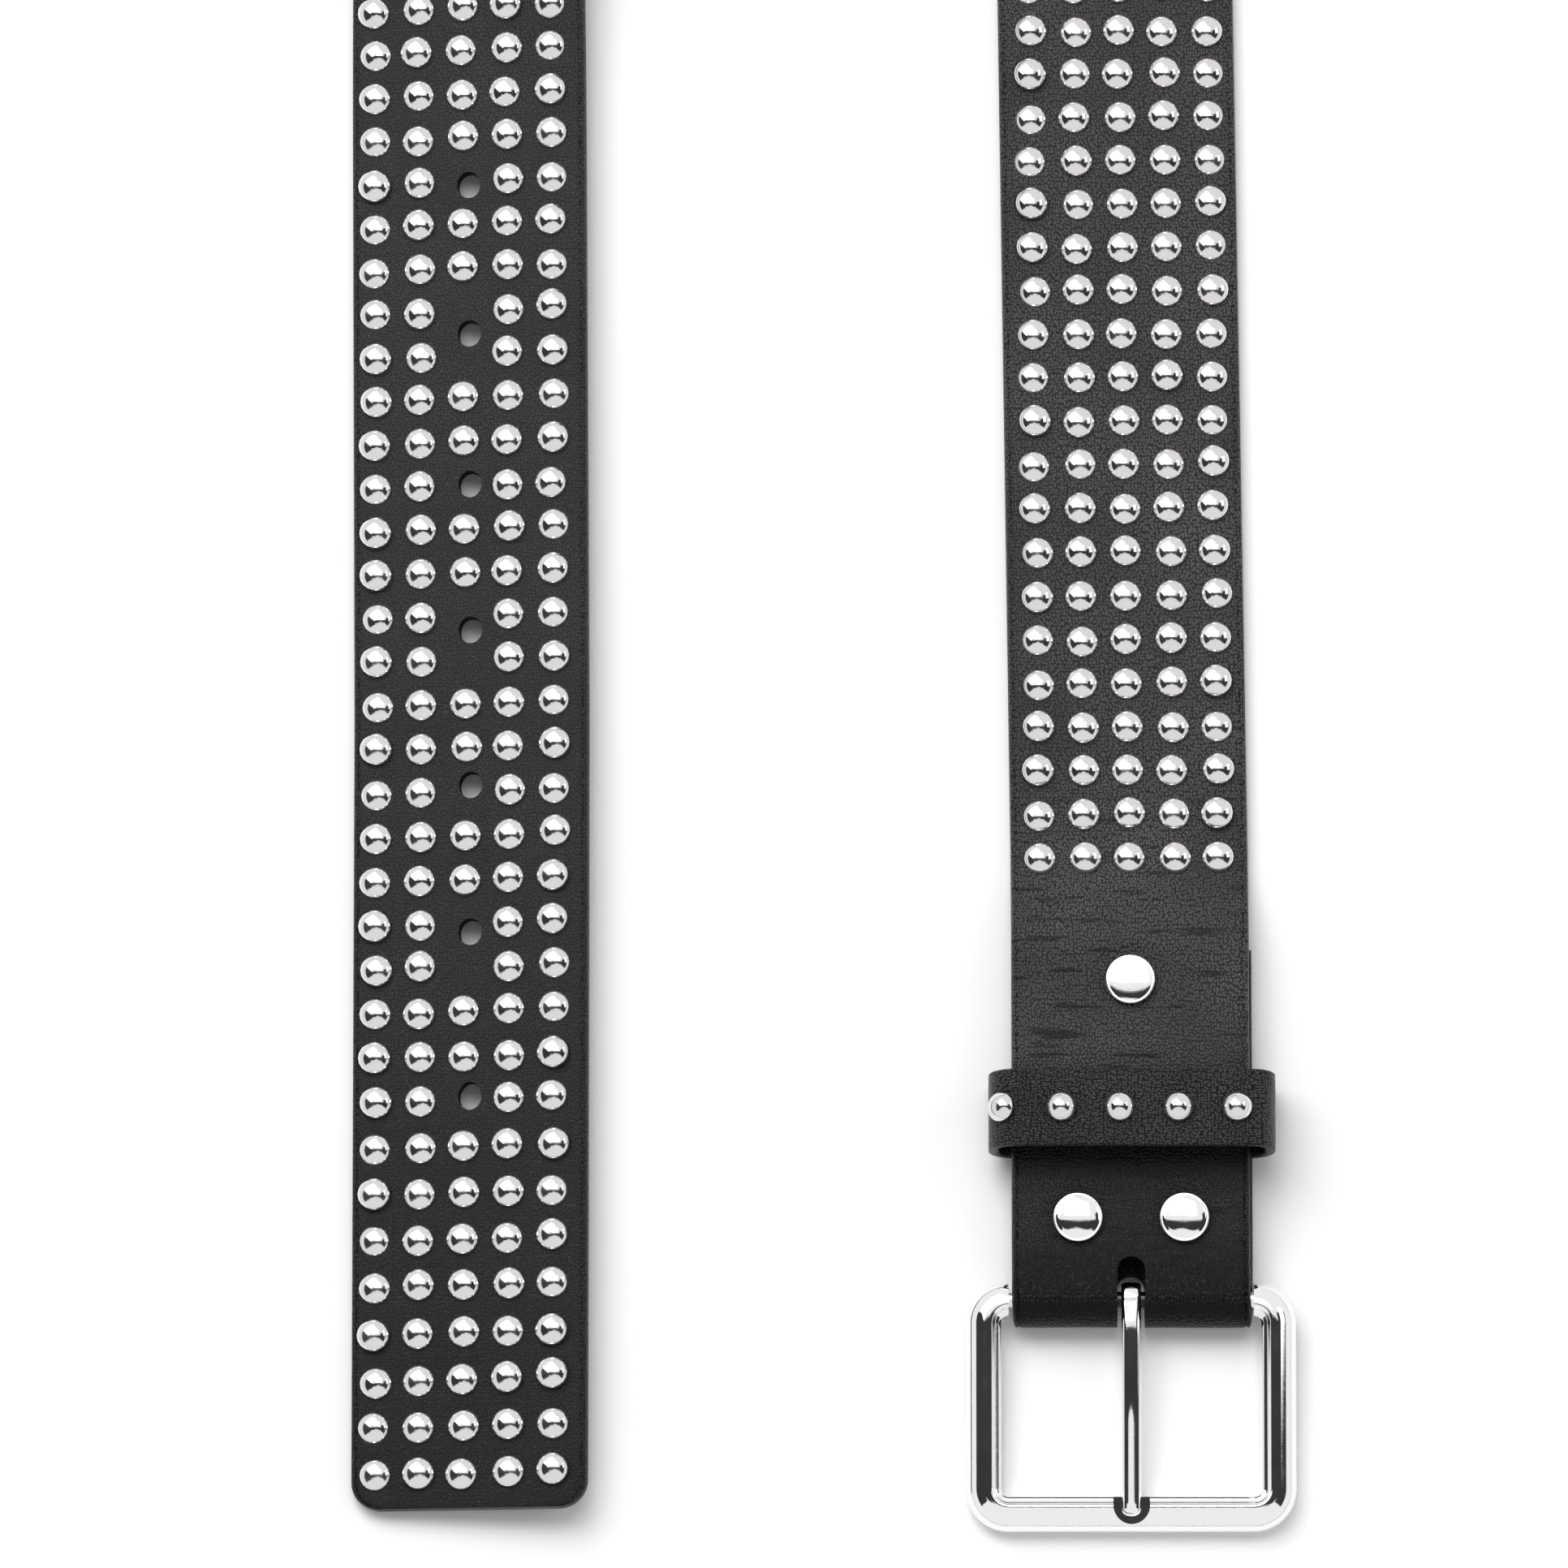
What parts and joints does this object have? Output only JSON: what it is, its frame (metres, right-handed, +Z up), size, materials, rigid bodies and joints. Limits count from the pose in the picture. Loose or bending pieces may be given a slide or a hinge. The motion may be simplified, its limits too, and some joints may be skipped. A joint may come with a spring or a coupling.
{
  "type": "studded belt",
  "caption": "Black leather belt with five rows of polished dome studs, a studded keeper, riveted fold and a square polished tongue buckle, lying in a loop.",
  "frame": {"origin": "on the surface, under the middle of the belt's box", "axes": "+Z up from the surface; +Y along both legs, from the buckle and the tail's end towards the loop; +X from the tail's leg towards the buckle's leg"},
  "size_m": [0.1604, 0.5054, 0.0404],
  "materials": {
    "black_leather": "satin",
    "polished_metal": "polished"
  },
  "bodies": {
    "belt_body": {"strap": "black_leather", "keeper": "black_leather", "keeper_stud_1": "polished_metal", "keeper_stud_2": "polished_metal", "keeper_stud_3": "polished_metal", "keeper_stud_4": "polished_metal", "keeper_stud_5": "polished_metal", "rivet_left": "polished_metal", "rivet_right": "polished_metal", "rivet_single": "polished_metal"},
    "buckle_body": {"buckle_frame": "polished_metal", "heel_bar": "polished_metal"},
    "tongue_body": {"tongue": "polished_metal"}
  },
  "joints": [
    {"name": "frame_swing", "type": "hinge", "parent": "belt_body", "child": "buckle_body", "pos_m": [0.05236, -0.21352, 0.0047], "axis": [-1, 0, 0], "range_deg": [-60, 45]},
    {"name": "tongue_swing", "type": "hinge", "parent": "buckle_body", "child": "tongue_body", "pos_m": [0.05236, -0.21352, 0.0047], "axis": [-1, 0, 0], "range_deg": [0, 65]}
  ]
}
